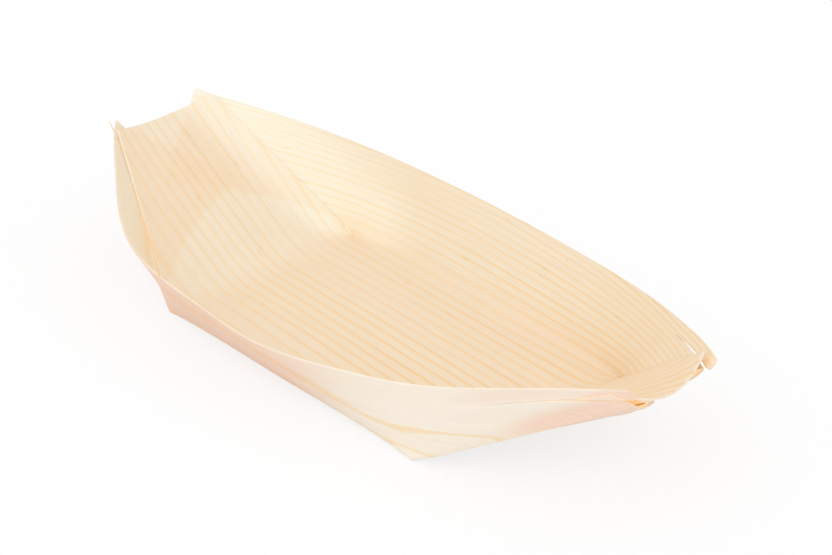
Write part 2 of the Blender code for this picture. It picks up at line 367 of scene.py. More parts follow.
class Crease:
    """Corner line from the floor up to the rim, with the wall on one side and the end panel on the other."""

    def __init__(self, end, side):
        self.end = end
        self.side = side
        self.foot = floor_corner(end, side)
        self.head = top_corner(end, side)
        self.length = (self.head - self.foot).length
        self.along = (self.head - self.foot).normalized()
        self.t_wall = 0.0 if end == LEFT else 1.0
        self.t_panel = 0.0 if side == NEAR else 1.0

    def point(self, a):
        """Point at the share a up the crease."""
        return self.foot.lerp(self.head, a)

    def panel_edge(self, a, depth):
        """Point of the end panel's side edge, which lies in the fold."""
        return panel_point(self.end, self.t_panel, a, depth)

    def share_up(self, place):
        """Share up the crease that a place is beside."""
        return min(1.0, max(0.0, (place - self.foot).dot(self.along) / self.length))

    def distance(self, place):
        """Distance of a place from the crease."""
        return (place - self.point(self.share_up(place))).length

    def along_rim(self):
        """Unit vector from the crease along the rim."""
        beside = rim_point(self.side, self.t_wall - self.end * PROBE)
        return (beside - rim_point(self.side, self.t_wall)).normalized()

    def into_wall(self):
        """Unit vector from the crease into the wall, square to the crease."""
        run = self.along_rim()
        return (run - self.along * run.dot(self.along)).normalized()

    def into_panel(self, a):
        """Unit vector from the crease into the end panel, square to the crease."""
        run = panel_point(self.end, self.t_panel - self.side * PROBE, a, 0.0) - self.panel_edge(a, 0.0)
        return (run - self.along * run.dot(self.along)).normalized()

    def set_out(self, a):
        """How far outside the crease the wall meets its flap."""
        turn = min(self.into_wall().angle(self.into_panel(a)), math.pi / 2)
        return (VENEER + SNUG) / math.tan(turn)

    def wall_shift(self, a):
        """How far the wall's end runs on past the crease to reach its flap, none at the floor."""
        behind = self.panel_edge(a, VENEER + SNUG) - self.panel_edge(a, 0.0)
        share = min(1.0, a * self.length / SLIT_START)
        return (behind - self.into_panel(a) * self.set_out(a)) * share

    def loose_shift(self, a, ease):
        """How far the wall's end stands off where the flap isn't drawn tight."""
        behind = (self.panel_edge(a, PROBE) - self.panel_edge(a, 0.0)).normalized()
        curl = self.panel_edge(a, 0.0) - self.point(a) + behind * CURL[self.end, self.side] * a
        run_on = -self.along_rim() * STAND_OFF[self.end, self.side] * a
        return run_on * ease + curl * ease ** CURL_TIGHTNESS

    def flap_outline(self):
        """Flap in the flat plane of the end panel, as (p, q) from its own floor corner.

        p runs along the end fold towards the other corner and q square to it, up the panel.
        """
        base = (floor_corner(self.end, -self.side) - self.foot).normalized()
        lean = math.acos(self.along.dot(base))
        crease_way = np.array((math.cos(lean), math.sin(lean)))
        grain_way = np.array((math.cos(lean - FLAP_TURN), math.sin(lean - FLAP_TURN)))
        strip = strip_width(self.side, self.t_wall) if self.end == RIGHT else 0.0
        head = crease_way * (self.length - strip)
        return crease_way, head, grain_way * FLAP_LENGTH, head + np.array(FLAP_EARS[self.end, self.side])

    def panel_size(self):
        """Height of the flat end panel, its width at the floor, and how its own and its other edge lean."""
        other = Crease(self.end, -self.side)
        base = other.foot - self.foot
        width = base.length
        base.normalize()
        height = self.length * math.sin(self.along.angle(base))
        return height, width, (self.head - self.foot).dot(base), (other.head - other.foot).dot(base)

    def panel_share(self, flat):
        """Shares (t, s) across and up the end panel at the flat place (p, q)."""
        height, width, own_lean, other_lean = self.panel_size()
        s = flat[1] / height
        own_edge = s * own_lean
        share = (flat[0] - own_edge) / (width + s * other_lean - own_edge)
        return (share if self.side == NEAR else 1 - share), s

    def flat_place(self, t, s):
        """Flat place (p, q) at the shares (t, s) across and up the end panel."""
        height, width, own_lean, other_lean = self.panel_size()
        share = t if self.side == NEAR else 1 - t
        own_edge = s * own_lean
        return np.array((own_edge + share * (width + s * other_lean - own_edge), s * height))

    def covers(self, t, s):
        """1 where the flap lies behind the end panel, 0 where it doesn't, soft along its edges."""
        crease_way, head, slit_end, ear_tip = self.flap_outline()
        corners = (crease_way * SLIT_START, slit_end, ear_tip, head)
        flat = self.flat_place(t, s)
        inside = 1.0
        for a, b in zip(corners, corners[1:]):
            edge = (b - a) / np.linalg.norm(b - a)
            off = flat - a
            inside = min(inside, ramp(-SOFT_EDGE, SOFT_EDGE, edge[0] * off[1] - edge[1] * off[0]))
        return inside


def flap_patch(crease, wall_end):
    """Columns of spots of a corner flap, from the wall's end at the crease to its cut end."""
    corner = crease.end, crease.side
    crease_way, _, slit_end, ear_tip = crease.flap_outline()
    off_crease = np.array((crease_way[1], -crease_way[0]))
    ups = [(spot.place - crease.foot).dot(crease.along) for spot in wall_end]
    first = next(row for row, up in enumerate(ups) if up > SLIT_START)
    columns = [wall_end[first:]]
    fold_depth = VENEER + SNUG
    full_depth = FLAP_LAYERS[crease.side] * (VENEER + GLUE_FILM)
    for column in range(1, FLAP_COLUMNS + 1):
        b = column / FLAP_COLUMNS
        spots = []
        for spot, up in zip(wall_end[first:], ups[first:]):
            a = (up - ups[first]) / (ups[-1] - ups[first])
            start = crease_way * up - off_crease * crease.set_out(up / crease.length)
            finish = slit_end + (ear_tip - slit_end) * a
            flat = start + (finish - start) * b
            laid = ramp(0.0, FULL_DEPTH, b) * ramp(1.0, TOP_HUG, a)
            depth = fold_depth + (full_depth - fold_depth) * laid
            place = panel_point(crease.end, *crease.panel_share(flat), depth)
            at_crease = panel_point(crease.end, *crease.panel_share(start), fold_depth)
            lay_down = LAY_DOWN + (TOP_LAY_DOWN - LAY_DOWN) * a ** LAY_DOWN_RISE
            settle = max(0.0, 1 - b / lay_down) ** FLAP_TUCK[crease.side]
            spots.append(Spot(
                place + (spot.place - at_crease) * settle,
                along=spot.along + crease.end * float(np.linalg.norm(flat - start)),
                across=spot.across,
                layers=0.0,
                glow=FLAP_GLOW[corner],
                fold_light=FLAP_LIGHT[corner] * ramp(*FLAP_LIGHT_SPAN, a) * ramp(*FLAP_LIGHT_FADE, b),
                blush=FLAP_BLUSH,
            ))
        columns.append(spots)
    return columns


# Side walls: the long sides of the sheet, bent up softly from the floor and flaring outwards, with a
# slightly wavy rim. At the right a rim strip has split off along the grain: on the far wall it stands
# up and runs on as an ear, and on the near wall the wall below the crack springs outwards.
RIM_STATIONS = (-0.0452, 0.0, 0.0452)
RIM_ENDS = {**TOP_CORNERS, (RIGHT, FAR): (0.0884, 0.0143, 0.0294)}
RIM_HALF_WIDTHS = {NEAR: (0.0372, 0.0423, 0.0342), FAR: (0.0374, 0.0425, 0.0348)}
RIM_HEIGHTS = {NEAR: (0.0195, 0.0156, 0.0209), FAR: (0.0189, 0.0169, 0.0210)}
RIM_WAVES = {NEAR: (-0.00058, -0.00004, 0.00060, 0.00009, -0.00032, -0.00021, -0.00074), FAR: ()}
WALL_GRAIN_HEIGHT = 0.024
CREASE_EASE = 0.010

# Width of the rim strip, square to the rim: along the wall, and at the right crease
RIM_STRIP = {NEAR: (0.0060, 0.0026), FAR: (0.0032, 0.0032)}
STRIP_ROWS = 4
STRIP_LINE = ARC_ROWS + RISE_ROWS

# Split of the rim strip: where it starts along the rim; how far the wall below it springs outwards, and how
# far down; how far the strip lifts; how far it runs on past the crease at its top and its foot; and the
# length of its rounded end, which narrows to the share EAR_TIP
Split = namedtuple("Split", "start spring spring_reach lift ear_top ear_foot ear_round")
SPLITS = {
    NEAR: Split(0.80, 0.0006, 0.010, 0.0, 0.0010, 0.0072, 0.0),
    FAR: Split(0.886, 0.0, 0.010, 0.0006, 0.0032, 0.0088, 0.0013),
}
EAR_COLUMNS = 12
EAR_LEAD = 6
EAR_TIP = 0.5

# Light through the far wall beside its left crease, and golden light in the folds at both ends: near the
# right creases, along the near left crease from its top down, and on the strip's ear
GLOW_ON_WALL = 0.027
FOLD_LIGHT = {NEAR: 1.0, FAR: 0.45}
FOLD_DEPTH = 0.0009
FOLD_LIGHT_SPAN = (0.45, 0.85)
CREASE_LIGHT = (0.45, 0.9)
EAR_LIGHT = {NEAR: 0.0, FAR: 0.3}
EAR_LIGHT_SPAN = (0.98, 1.0)

# Along the rim, the outer face turns pink where it faces away from the light
BLUSH_SPAN = (0.74, 0.42)
FAR_BLUSH = 0.45
CREASE_BLUSH = 0.005
CREASE_BLUSH_SPAN = (0.25, 0.6)
STRIP_BLUSH = 0.42
STRIP_BLUSH_SPAN = (0.78, 0.88)


def rim_curve(side, middle, left, right):
    """Polynomial along x through an end, the three stations and the other end of a rim."""
    stations = (RIM_ENDS[LEFT, side][0], *RIM_STATIONS, RIM_ENDS[RIGHT, side][0])
    return np.polyfit(stations, (left, *middle, right), len(stations) - 1)


RIM_CURVES = {}
for side in (NEAR, FAR):
    left, right = Vector(RIM_ENDS[LEFT, side]), Vector(RIM_ENDS[RIGHT, side])
    RIM_CURVES[side] = (
        rim_curve(side, RIM_HALF_WIDTHS[side], abs(left.y), abs(right.y)),
        rim_curve(side, RIM_HEIGHTS[side], left.z, right.z),
    )


def rim_point(side, t):
    """Point of a wall's rim, from the left crease at t = 0 to the right crease at t = 1."""
    width, height = RIM_CURVES[side]
    x = RIM_ENDS[LEFT, side][0] + (RIM_ENDS[RIGHT, side][0] - RIM_ENDS[LEFT, side][0]) * t
    wave = sum(size * math.sin((count + 1) * math.pi * t) for count, size in enumerate(RIM_WAVES[side]))
    return Vector((x, side * (np.polyval(width, x) + wave), np.polyval(height, x)))


def strip_width(side, t):
    """Length of the rim strip up the wall's section, which meets the rim at a slant near the corners."""
    step = PROBE if t < 0.5 else -PROBE
    rim_way = rim_point(side, t + step) - rim_point(side, t)
    full, at_crease = RIM_STRIP[side]
    width = full + (at_crease - full) * ramp(SPLITS[side].start, 1.0, t)
    return width / math.sin((rim_point(side, t) - wall_fold(side, t)).angle(rim_way))


def wall_section(side, t):
    """Points up a wall's section at the share t along the rim."""
    inward = Vector((0.0, -side, 0.0))
    fold, top = wall_fold(side, t), rim_point(side, t)
    upward = (top - fold).normalized()
    width = strip_width(side, t)
    below = bent_section(fold, inward, top - upward * width, bend_reach(WALL_BEND, fold_share(t)))
    strip = [top - upward * width * (1 - row / STRIP_ROWS) for row in range(STRIP_ROWS + 1)]
    return below + strip[1:]


def wall_fold_light(side, place, creases):
    """Golden light in the folds at a wall's ends."""
    left, right = creases
    light = ramp(FOLD_DEPTH, 0.0, right.distance(place)) * FOLD_LIGHT[side]
    light *= ramp(*FOLD_LIGHT_SPAN, right.share_up(place))
    if side == NEAR:
        low_down = 1 - ramp(*CREASE_LIGHT_SPAN, left.share_up(place))
        crease_light = CREASE_LIGHT[0] + (CREASE_LIGHT[1] - CREASE_LIGHT[0]) * low_down
        light = max(light, crease_light * ramp(CREASE_LINE, 0.0, left.distance(place)))
    return light


def wall_blush(side, t, in_strip, place, creases):
    """Pink of a wall's outer face, along the rim and beside the creases."""
    blush = ramp(*BLUSH_SPAN, t) if side == NEAR else FAR_BLUSH
    if in_strip:
        blush = max(blush, STRIP_BLUSH * ramp(*STRIP_BLUSH_SPAN, t))
    for crease in creases:
        beside = ramp(CREASE_BLUSH, 0.0, crease.distance(place))
        blush = max(blush, beside * ramp(*CREASE_BLUSH_SPAN, crease.share_up(place)))
    return blush


def crease_shifts(place, creases):
    """How far a place near a crease moves to reach its flap, and how far more where the fold is loose."""
    tight, loose = Vector(), Vector()
    for crease in creases:
        ease = max(0.0, 1 - crease.distance(place) / CREASE_EASE) ** 2
        if ease:
            a = crease.share_up(place)
            tight += crease.wall_shift(a) * ease
            loose += crease.loose_shift(a, ease)
    return tight, loose


def wall_column(side, t, creases):
    """Spots up a wall's section before its strip splits off, and how far each moves where it is loose."""
    points = wall_section(side, t)
    lengths = runs(points)
    floor_across = grain_across(points[0].x, points[0].y)
    spots, loose_shifts = [], []
    for row, (place, share) in enumerate(zip(points, lengths / lengths[-1])):
        tight, loose = crease_shifts(place, creases) if row >= ARC_ROWS else (Vector(), Vector())
        spots.append(Spot(
            place + tight,
            along=place.x,
            across=floor_across + side * share * WALL_GRAIN_HEIGHT,
            layers=ramp(TABLE_REACH, 0.0, (place - points[0]).length),
            glow=glow_at(place, GLOW_ON_WALL) * min(1.0, row / ARC_ROWS) if side == FAR else 0.0,
            fold_light=wall_fold_light(side, place, creases),
            blush=wall_blush(side, t, row > STRIP_LINE, place, creases),
        ))
        loose_shifts.append(loose)
    return spots, loose_shifts


def open_split(side, t, lower, upper, loose_shifts):
    """Spots below and in the rim strip, moved apart as far as the split is open."""
    split = SPLITS[side]
    open_share = ramp(split.start, 1.0, t)
    points = wall_section(side, t)
    along = (wall_section(side, t - PROBE)[-1] - points[-1]).normalized()
    upward = points[-1] - points[STRIP_LINE]
    upward = (upward - along * upward.dot(along)).normalized()
    outward = along.cross(upward)
    outward *= math.copysign(1.0, outward.y * side) / outward.length
    below = []
    for spot, point, loose in zip(lower, points, loose_shifts):
        drop = (points[STRIP_LINE] - point).length
        spring = split.spring * open_share * ramp(split.spring_reach, 0.0, drop)
        below.append(spot._replace(place=spot.place + outward * spring + loose))
    lift = upward * split.lift * math.sqrt(open_share)
    return below, [spot._replace(place=spot.place + lift) for spot in upper]


def ear_columns(side, strip):
    """Columns of spots of the strip's ear, which runs on past the right crease."""
    split = SPLITS[side]
    last = strip[-1]
    way = (last[-1].place - strip[-EAR_LEAD][-1].place).normalized()
    columns = []
    for column in range(1, EAR_COLUMNS + 1):
        share = column / EAR_COLUMNS
        ear = []
        for row, spot in enumerate(last):
            up = row / STRIP_ROWS
            reach = split.ear_foot + (split.ear_top - split.ear_foot) * up
            place = spot.place + way * reach * share
            ear.append(spot._replace(place=place, along=spot.along + reach * share))
        if split.ear_round:
            past = max(0.0, share * split.ear_top - (split.ear_top - split.ear_round)) / split.ear_round
            width = EAR_TIP + (1 - EAR_TIP) * math.sqrt(max(0.0, 1 - past * past))
            middle = ear[0].place.lerp(ear[-1].place, 0.5)
            ear = [spot._replace(place=middle.lerp(spot.place, width)) for spot in ear]
        columns.append(ear)
    return columns


def wall_patches(side):
    """Columns of spots of a side wall below its rim strip and of the strip, left to right."""
    creases = [Crease(end, side) for end in (LEFT, RIGHT)]
    below, strip = [], []
    for t in wall_shares():
        spots, loose_shifts = wall_column(side, t, creases)
        ear_light = EAR_LIGHT[side] * ramp(*EAR_LIGHT_SPAN, t)
        lower = spots[:STRIP_LINE + 1]
        upper = [spot._replace(fold_light=ear_light) for spot in spots[STRIP_LINE:]]
        if t > SPLITS[side].start:
            lower, upper = open_split(side, t, lower, upper, loose_shifts)
        below.append(lower)
        strip.append(upper)
    return below, strip + ear_columns(side, strip)


# Each wall is laid with the flaps that it turns into, and then the end panels
wall_strips = {}
for side in (NEAR, FAR):
    below, wall_strips[side] = wall_patches(side)
    lay_patch(below)
    lay_patch(wall_strips[side])
    left_end = below[0][ARC_ROWS:] + wall_strips[side][0][1:]
    lay_patch(flap_patch(Crease(LEFT, side), left_end))
    lay_patch(flap_patch(Crease(RIGHT, side), below[-1][ARC_ROWS:]))
for end in (LEFT, RIGHT):
    lay_patch(panel_patch(end))


# Veneer sheet: the whole sheet in one piece, with its thickness behind the inner face. Rotary-cut pine,
# bare, with orange growth rings; the face inside is a warm straw colour, the face outside paler.
WELD = 0.000002
SHARP_FOLD = math.radians(40)

# Streaks in the wood: waves in a metre along and across the grain, and detail
WANDER_WAVES = (9.0, 70.0, 2.0)
RIPPLE_WAVES = (60.0, 300.0, 2.0)
FIBRE_WAVES = (45.0, 3600.0, 3.0)
CLOUD_WAVES = (16.0, 90.0, 3.0)
FLECK_WAVES = (170.0, 1500.0, 0.0)
STREAK_ROUGHNESS = 0.55
FLECK_SPAN = (0.80, 0.85)

# Rings: how far they wander and ripple, in ring widths; where in a ring its latewood is full and where it
# ends; how strong it is from year to year, and how much fainter at the left end
RING_WANDER = 0.7
RING_RIPPLE = 0.22
RING_SEED = 0.37
LATEWOOD_FULL = 0.92
LATEWOOD_END = (1.0, 0.95)
YEAR_STRENGTH = (0.5, 1.0)
RING_FADE = 0.52
RING_FADE_SPAN = (-0.055, 0.045)

# Finish of the bare wood
FIBRE_SPAN = (0.3, 0.7)
FIBRE_TONE = (0.972, 1.02)
FIBRE_ROUGHNESS = (0.72, 0.58)
CLOUD_SPAN = (0.35, 0.7)
CLOUD_SHARE = 0.35
CLOUD_TINT = (1.0, 0.95, 0.88, 1.0)
FLECK_TINT = (0.97, 0.86, 0.68, 1.0)
PINE_SHINE = 0.3
LATEWOOD_RAISE = 0.6
FLECK_SINK = 0.5
GRAIN_BUMP = 0.35
GRAIN_BUMP_DEPTH = 0.00004


def add(tree, kind, feeds=(), **options):
    """Add a shader node with its options, and feed its inputs with values or other nodes' outputs."""
    made = tree.nodes.new(kind)
    for option, value in options.items():
        setattr(made, option, value)
    for socket, value in dict(feeds).items():
        if isinstance(value, bpy.types.NodeSocket):
            tree.links.new(value, made.inputs[socket])
        else:
            made.inputs[socket].default_value = value
    return made


def maths(tree, operation, *values):
    """Result of one sum, product or other operation."""
    return add(tree, "ShaderNodeMath", enumerate(values), operation=operation).outputs[0]


def slide(tree, value, start, finish, low=0.0, high=1.0):
    """Smooth change from low to high as a value goes from start to finish."""
    feeds = {0: value, 1: start, 2: finish, 3: low, 4: high}
    return add(tree, "ShaderNodeMapRange", feeds, interpolation_type="SMOOTHSTEP").outputs[0]


def mix(tree, share, first, second, kind="MIX"):
    """Mix of two colours."""
    feeds = {0: share, 6: first, 7: second}
    return add(tree, "ShaderNodeMix", feeds, data_type="RGBA", blend_type=kind).outputs[2]


def mark(tree, name):
    """One of the marks that the sheet's spots carry."""
    return add(tree, "ShaderNodeAttribute", attribute_name=name).outputs["Fac"]


def streaks(tree, along, across, lengthwise, crosswise, detail):
    """Noise drawn out along the grain, with so many waves in a metre along and across it."""
    feeds = {0: maths(tree, "MULTIPLY", along, lengthwise), 1: maths(tree, "MULTIPLY", across, crosswise)}
    place = add(tree, "ShaderNodeCombineXYZ", feeds).outputs[0]
    feeds = {"Vector": place, "Scale": 1.0, "Detail": detail, "Roughness": STREAK_ROUGHNESS}
    return add(tree, "ShaderNodeTexNoise", feeds).outputs["Fac"]


def make_pine_grain():
    """Node group of the pine's figure: latewood lines, fibres, clouds, resin flecks, and their height."""
    group = bpy.data.node_groups.new("pine_grain", "ShaderNodeTree")
    for name in ("Ring", "Latewood Start", "Along", "Across"):
        group.interface.new_socket(name, in_out="INPUT", socket_type="NodeSocketFloat")
    for name in ("Latewood", "Fibre", "Cloud", "Fleck", "Height"):
        group.interface.new_socket(name, in_out="OUTPUT", socket_type="NodeSocketFloat")
    given = group.nodes.new("NodeGroupInput").outputs
    along, across = given["Along"], given["Across"]

    wander = maths(group, "SUBTRACT", streaks(group, along, across, *WANDER_WAVES), 0.5)
    ripple = maths(group, "SUBTRACT", streaks(group, along, across, *RIPPLE_WAVES), 0.5)
    shift = maths(group, "MULTIPLY_ADD", ripple, RING_RIPPLE, maths(group, "MULTIPLY", wander, RING_WANDER))
    ring = maths(group, "ADD", given["Ring"], shift)
    share = maths(group, "FRACT", ring)
    darkening = slide(group, share, given["Latewood Start"], LATEWOOD_FULL)
    ending = slide(group, share, *LATEWOOD_END)
    year = maths(group, "ADD", maths(group, "FLOOR", ring), RING_SEED)
    chance = add(group, "ShaderNodeTexWhiteNoise", {"W": year}, noise_dimensions="1D").outputs["Value"]
    strength = slide(group, chance, 0.0, 1.0, *YEAR_STRENGTH)
    strength = maths(group, "MULTIPLY", strength, slide(group, along, *RING_FADE_SPAN, RING_FADE, 1.0))
    latewood = maths(group, "MULTIPLY", maths(group, "MULTIPLY", darkening, ending), strength)

    fibre = streaks(group, along, across, *FIBRE_WAVES)
    cloud = streaks(group, along, across, *CLOUD_WAVES)
    fleck = slide(group, streaks(group, along, across, *FLECK_WAVES), *FLECK_SPAN)
    height = maths(group, "MULTIPLY_ADD", latewood, LATEWOOD_RAISE, fibre)
    height = maths(group, "SUBTRACT", height, maths(group, "MULTIPLY", fleck, FLECK_SINK))

    result = group.nodes.new("NodeGroupOutput")
    for name, value in (("Latewood", latewood), ("Fibre", fibre), ("Cloud", cloud), ("Fleck", fleck),
                        ("Height", height)):
        group.links.new(value, result.inputs[name])
    return group


PINE_GRAIN = make_pine_grain()


def bare_pine(name, earlywood, latewood, tints, fold_glow=(0.0, 0.0, 0.0)):
    """Bare planed pine: two colours of wood, with light and shade painted in where a mark of the sheet goes
    from start to finish.
    """
    material = bpy.data.materials.new(name)
    material.use_nodes = True
    tree = material.node_tree
    shader = tree.nodes["Principled BSDF"]
    grain = add(tree, "ShaderNodeGroup", node_tree=PINE_GRAIN)
    for socket, mark_name in (("Ring", "growth_ring"), ("Latewood Start", "latewood_start"),
                              ("Along", "along_grain"), ("Across", "across_grain")):
        tree.links.new(mark(tree, mark_name), grain.inputs[socket])
    fibre = grain.outputs["Fibre"]

    colour = mix(tree, grain.outputs["Latewood"], (*earlywood, 1.0), (*latewood, 1.0))
    colour = mix(tree, 1.0, colour, slide(tree, fibre, *FIBRE_SPAN, *FIBRE_TONE), "MULTIPLY")
    cloudy = slide(tree, grain.outputs["Cloud"], *CLOUD_SPAN, 0.0, CLOUD_SHARE)
    colour = mix(tree, cloudy, colour, CLOUD_TINT, "MULTIPLY")
    colour = mix(tree, grain.outputs["Fleck"], colour, FLECK_TINT, "MULTIPLY")
    for mark_name, start, finish, tint in tints:
        share = slide(tree, mark(tree, mark_name), start, finish)
        colour = mix(tree, share, colour, (*tint, 1.0), "MULTIPLY")
    tree.links.new(colour, shader.inputs["Base Color"])

    roughness = slide(tree, fibre, *FIBRE_SPAN, *FIBRE_ROUGHNESS)
    tree.links.new(roughness, shader.inputs["Roughness"])
    shader.inputs["Specular IOR Level"].default_value = PINE_SHINE
    in_fold = slide(tree, mark(tree, "fold_light"), 0.0, 1.0)
    light = mix(tree, in_fold, (0.0, 0.0, 0.0, 1.0), (*fold_glow, 1.0))
    tree.links.new(light, shader.inputs["Emission Color"])
    shader.inputs["Emission Strength"].default_value = 1.0
    feeds = {"Strength": GRAIN_BUMP, "Distance": GRAIN_BUMP_DEPTH, "Height": grain.outputs["Height"]}
    bump = add(tree, "ShaderNodeBump", feeds)
    tree.links.new(bump.outputs["Normal"], shader.inputs["Normal"])
    return material


def set_up(name, data):
    """Object of a mesh, lamp or camera, put into the scene."""
    made = bpy.data.objects.new(name, data)
    bpy.context.scene.collection.objects.link(made)
    return made


# Inner face: painted shade where layers or the table lie behind it, painted light where light shines
# through, and golden painted light in the folds
INNER = bare_pine(
    "pine_inner_face", earlywood=(0.915, 0.800, 0.630), latewood=(0.935, 0.692, 0.386),
    tints=(
        ("painted_shade_of_layers_behind", 0.0, 1.0, (1.0, 0.94, 0.89)),
        ("painted_shade_of_layers_behind", 1.0, 2.0, (1.0, 0.98, 0.945)),
        ("glow", 0.0, 1.0, (1.08, 1.19, 1.29)),
        ("fold_light", 0.0, 1.0, (1.0, 0.90, 0.74)),
    ),
    fold_glow=(0.46, 0.34, 0.18),
)
OUTER = bare_pine(
    "pine_outer_face", earlywood=(0.955, 0.870, 0.755), latewood=(0.955, 0.770, 0.524),
    tints=(("blush", 0.0, 1.0, (0.985, 0.815, 0.755)),),
)
EDGE = bare_pine(
    "pine_cut_edge", earlywood=(0.97, 0.88, 0.76), latewood=(0.97, 0.82, 0.64),
    tints=(("blush", 0.0, 1.0, (0.95, 0.86, 0.78)),),
)

bmesh.ops.remove_doubles(blank, verts=blank.verts, dist=WELD)
bmesh.ops.recalc_face_normals(blank, faces=blank.faces)
floor_face = min(blank.faces, key=lambda face: face.calc_center_median().length)
if floor_face.normal.z < 0:
    bmesh.ops.reverse_faces(blank, faces=blank.faces)
sheet_mesh = bpy.data.meshes.new("veneer_sheet")
blank.to_mesh(sheet_mesh)
blank.free()
for material in (INNER, OUTER, EDGE):
    sheet_mesh.materials.append(material)
sheet = set_up("veneer_sheet", sheet_mesh)
thickness = sheet.modifiers.new("thickness", "SOLIDIFY")
thickness.thickness = VENEER
thickness.offset = -1.0
thickness.material_offset = 1
thickness.material_offset_rim = 2
thick = bpy.data.meshes.new_from_object(sheet.evaluated_get(bpy.context.evaluated_depsgraph_get()))
sheet.modifiers.clear()
sheet.data = thick
thick.shade_smooth()
thick.set_sharp_from_angle(angle=SHARP_FOLD)
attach(sheet, "root")
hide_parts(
    "floor_panel", "near_side_wall", "far_side_wall", "left_end_panel", "right_end_panel",
    "near_left_flap", "far_left_flap", "near_right_flap", "far_right_flap",
)


# Torn slivers of the same sheet: a thin leaf of the outer ply that has lifted from the near rim strip, with
# golden light under it, and a splinter that stands up from the near rim beside the left crease.
LEAF_COLUMNS = (-20, -3)
LEAF_APEX = 0.40
LEAF_HEIGHT = 0.62
LEAF_THICK = 0.00012
LEAF_LIFT = 0.00020
LEAF_ROWS = 6
LEAF_LIGHT = 0.85
LEAF_BLUSH = 0.6
SPLINTER_START = 0.012
SPLINTER_WAY = Vector((-0.73, 0.0, 0.68))
SPLINTER_LENGTH = 0.0042
SPLINTER_WIDTH = 0.00038
SPLINTER_TIP = 0.00012


def torn_leaf(strip):
    """Quads of a leaf's outer and inner face, lifted off some columns of a rim strip."""
    along = strip[-1][0].place - strip[0][0].place
    reach = runs([column[0].place for column in strip])
    under, over = [], []
    for column, run in zip(strip, reach / reach[-1]):
        outward = along.cross(column[-1].place - column[0].place).normalized()
        outward *= math.copysign(1.0, -outward.y)
        rising = run / LEAF_APEX if run < LEAF_APEX else (1 - run) / (1 - LEAF_APEX)
        under.append([])
        over.append([])
        for row in range(LEAF_ROWS + 1):
            up = row / LEAF_ROWS
            foot = column[0].place.lerp(column[-1].place, LEAF_HEIGHT * rising * up)
            lift = VENEER + SNUG + LEAF_LIFT * (1 - up) * rising
            under[-1].append(foot + outward * lift)
            over[-1].append(foot + outward * (lift + LEAF_THICK))
    outer_faces, inner_faces = [], []
    for grid, faces in ((over, outer_faces), (under, inner_faces)):
        for left, right in zip(grid, grid[1:]):
            faces += [(left[r], right[r], right[r + 1], left[r + 1]) for r in range(LEAF_ROWS)]
    for a, b, c, d in zip(under, under[1:], over, over[1:]):
        inner_faces += [(a[0], b[0], d[0], c[0]), (a[-1], b[-1], d[-1], c[-1])]
    return outer_faces, inner_faces


def splinter_bar():
    """Quads of a thin square bar that tapers to its tip."""
    base = rim_point(NEAR, SPLINTER_START) - SPLINTER_WAY * SPLINTER_WIDTH
    tip = base + SPLINTER_WAY.normalized() * SPLINTER_LENGTH
    flat = Vector((0.0, 1.0, 0.0))
    broad = SPLINTER_WAY.cross(flat).normalized()
    ends = []
    for middle, size in ((base, SPLINTER_WIDTH), (tip, SPLINTER_TIP)):
        corners = ((-1, -1), (1, -1), (1, 1), (-1, 1))
        ends.append([middle + (flat * u + broad * v) * size / 2 for u, v in corners])
    return ends + [(ends[0][i], ends[0][i - 1], ends[1][i - 1], ends[1][i]) for i in range(4)]


def sliver(name, outer_faces, inner_faces, spot):
    """Piece made of quads of the outer and the inner face, with the marks of one spot of the sheet."""
    mesh = bpy.data.meshes.new(name)
    wood = bmesh.new()
    layers = [wood.verts.layers.float.new(mark_name) for mark_name in MARKS]
    for slot, faces in enumerate((outer_faces, inner_faces)):
        for face in faces:
            wood.faces.new([wood.verts.new(corner) for corner in face]).material_index = slot
    for vertex in wood.verts:
        for layer, value in zip(layers, mark_values(spot)):
            vertex[layer] = value
    bmesh.ops.remove_doubles(wood, verts=wood.verts, dist=WELD)
    bmesh.ops.recalc_face_normals(wood, faces=wood.faces)
    wood.to_mesh(mesh)
    wood.free()
    mesh.materials.append(OUTER)
    if inner_faces:
        mesh.materials.append(INNER)
    mesh.shade_smooth()
    mesh.set_sharp_from_angle(angle=SHARP_FOLD)
    made = set_up(name, mesh)
    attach(made, "root")


leaf_strip = wall_strips[NEAR][slice(*LEAF_COLUMNS)]
leaf_spot = leaf_strip[0][0]._replace(fold_light=LEAF_LIGHT, blush=LEAF_BLUSH)
sliver("rim_leaf", *torn_leaf(leaf_strip), leaf_spot)
sliver("rim_splinter", splinter_bar(), [], wall_strips[NEAR][0][-1])


# Glue: spots of hot-melt between each end panel and its inner flap, and between the two flaps. Pale
# amber, pressed flat between the layers, with a rounded rim.
GLUE_SHARE = 0.6
GLUE_RINGS = 12
GLUE_SEGMENTS = 48
GLUE_FLATNESS = 6
GLUE_COLOURS = ((0.86, 0.78, 0.58, 1.0), (0.80, 0.69, 0.46, 1.0))
GLUE_ROUGHNESS = (0.35, 0.5)
GLUE_CLOUDS = 260.0
GLUE_CLOUD_DETAIL = 3.0
GLUE_CLOUD_SPAN = (0.3, 0.7)
GLUE_BUMP = 0.3
GLUE_BUMP_DEPTH = 0.00005


